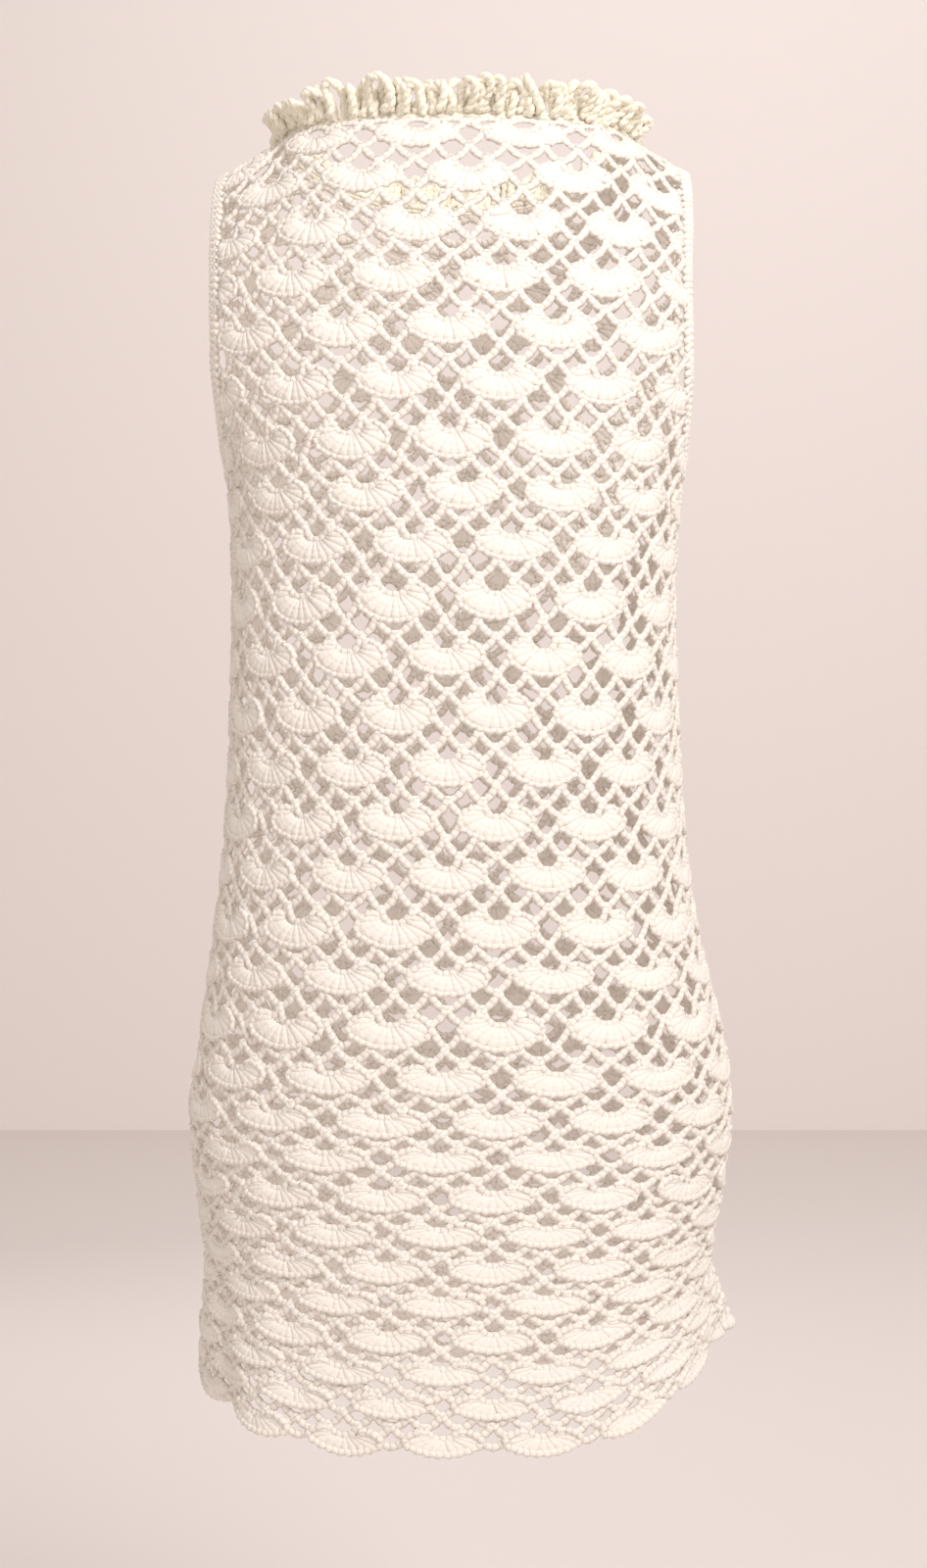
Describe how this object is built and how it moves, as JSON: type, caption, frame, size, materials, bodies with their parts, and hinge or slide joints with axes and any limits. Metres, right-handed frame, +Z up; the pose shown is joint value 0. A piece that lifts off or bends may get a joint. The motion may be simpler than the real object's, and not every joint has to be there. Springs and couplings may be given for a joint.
{
  "type": "crochet shift dress",
  "caption": "Sleeveless crochet shell-lace shift dress in its hollow worn form, with a looped-cord neck trim and a scalloped hem.",
  "frame": {"origin": "the middle of the neck opening at the height of the two neck points, where the wearer's shoulders hold the dress up", "axes": "+Z up, -Y towards the back of the dress (the side that the picture shows), +Y towards its front, +X to the right as seen from behind"},
  "size_m": [0.3791, 0.2776, 0.9081],
  "materials": {
    "cream_yarn": "soft matt worsted yarn",
    "trim_yarn": "soft matt chain cord, a little yellower"
  },
  "bodies": {
    "root": {"back_panel": "cream_yarn", "front_panel": "cream_yarn", "armhole_edging_left": "cream_yarn", "armhole_edging_right": "cream_yarn", "neck_trim": "trim_yarn"}
  },
  "joints": []
}
